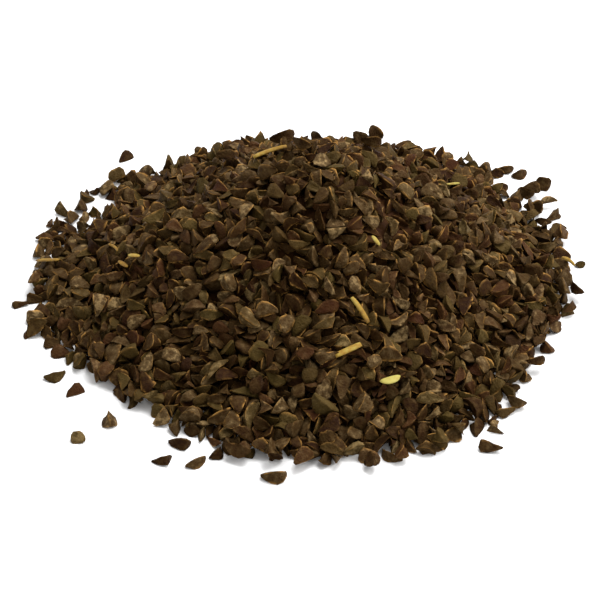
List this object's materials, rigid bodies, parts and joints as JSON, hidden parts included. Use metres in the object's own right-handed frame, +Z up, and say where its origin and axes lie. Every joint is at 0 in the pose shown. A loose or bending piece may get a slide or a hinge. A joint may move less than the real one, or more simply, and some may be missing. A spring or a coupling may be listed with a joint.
{
  "type": "heap of syrian rue seeds",
  "caption": "Low cone of dry seeds poured out on a surface: small dark three-faced wedges with bits of straw, and stray seeds that rolled clear of it.",
  "frame": {"origin": "on the surface that the heap lies on, under the middle of the whole spread of seeds", "axes": "+Z up through the heap, +X to the right and +Y away, as seen from the side with most of the stray seeds"},
  "size_m": [0.0932, 0.0934, 0.0273],
  "materials": {
    "seed": "dull dark brown seed coat, finely netted, with worn tan ridges",
    "pale_seed": "dull olive tan seed coat, finely netted",
    "straw": "dry golden straw, slightly glossy along the fibres"
  },
  "bodies": {
    "root": {"seed_heap": "seed", "loose_seed_01": "seed", "loose_seed_02": "seed", "loose_seed_03": "seed", "loose_seed_04": "seed", "loose_seed_05": "seed", "loose_seed_06": "pale_seed", "loose_seed_07": "seed", "loose_seed_08": "seed", "loose_seed_09": "seed", "loose_seed_10": "seed", "loose_seed_11": "seed", "loose_seed_12": "seed"}
  },
  "joints": []
}
